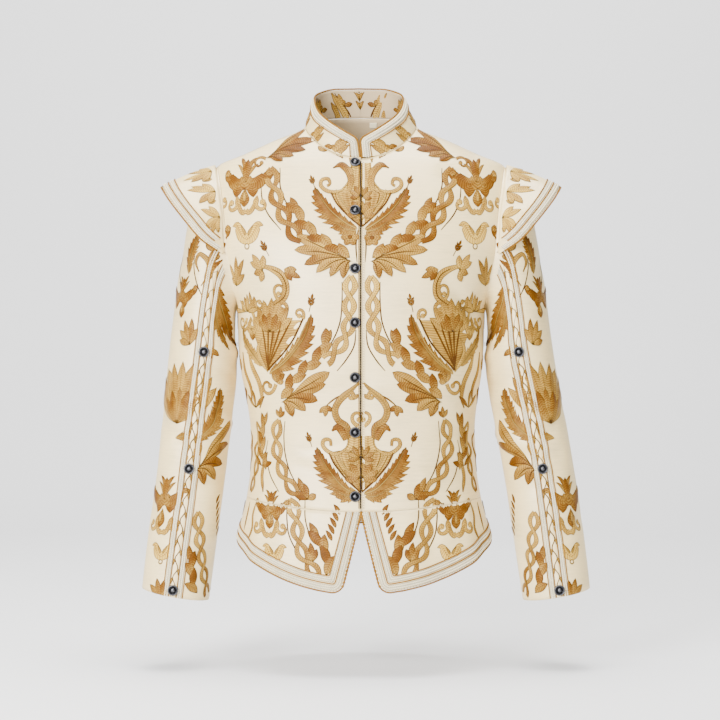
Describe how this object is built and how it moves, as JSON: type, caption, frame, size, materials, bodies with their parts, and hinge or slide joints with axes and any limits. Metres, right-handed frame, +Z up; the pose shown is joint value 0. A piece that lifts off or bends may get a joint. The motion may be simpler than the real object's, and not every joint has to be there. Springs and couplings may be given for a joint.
{
  "type": "embroidered jacket",
  "caption": "Fitted doublet-style jacket, filled out as worn with no wearer: stand collar, buttoned front, shoulder wings over long sleeves, and a split peplum edged in braid.",
  "frame": {"origin": "between the shoulders, on the centre line and in the plane of the side seams, where a wearer carries the jacket", "axes": "+Z up along the body, the front faces -Y, +X is the wearer's left"},
  "size_m": [0.6196, 0.2436, 0.7197],
  "materials": {
    "embroidered_satin": "ivory satin with gold damask embroidery",
    "plain_facing": "plain beige weave",
    "tab_ribbon": "blank white ribbon",
    "white_braid": "matte woven braid",
    "gold_cord": "twisted gold cord",
    "gold_embroidery": "gold thread on ivory satin",
    "button_metal": "dark polished pewter"
  },
  "bodies": {
    "root": {"back": "embroidered_satin", "collar": "embroidered_satin", "collar_braid": "white_braid", "collar_cord": "gold_cord", "front_button_1": "button_metal", "front_button_2": "button_metal", "front_button_3": "button_metal", "front_button_4": "button_metal", "front_button_5": "button_metal", "front_button_6": "button_metal", "front_button_7": "button_metal", "front_edge_band": "gold_embroidery", "front_left": "embroidered_satin", "front_right": "embroidered_satin", "neck_facing": "plain_facing", "neck_tab": "tab_ribbon", "peplum_back": "embroidered_satin", "peplum_braid_inner": "white_braid", "peplum_braid_outer": "white_braid", "peplum_cord": "gold_cord", "peplum_front_left": "embroidered_satin", "peplum_front_right": "embroidered_satin", "sleeve_braid_inner_left": "white_braid", "sleeve_braid_inner_right": "white_braid", "sleeve_braid_outer_left": "white_braid", "sleeve_braid_outer_right": "white_braid", "sleeve_button_left_1": "button_metal", "sleeve_button_left_2": "button_metal", "sleeve_button_left_3": "button_metal", "sleeve_button_right_1": "button_metal", "sleeve_button_right_2": "button_metal", "sleeve_button_right_3": "button_metal", "sleeve_left": "embroidered_satin", "sleeve_right": "embroidered_satin", "sleeve_strip_left": "gold_embroidery", "sleeve_strip_right": "gold_embroidery", "wing_braid_inner_left": "white_braid", "wing_braid_inner_right": "white_braid", "wing_braid_outer_left": "white_braid", "wing_braid_outer_right": "white_braid", "wing_cord_left": "gold_cord", "wing_cord_right": "gold_cord", "wing_left": "embroidered_satin", "wing_right": "embroidered_satin"}
  },
  "joints": []
}
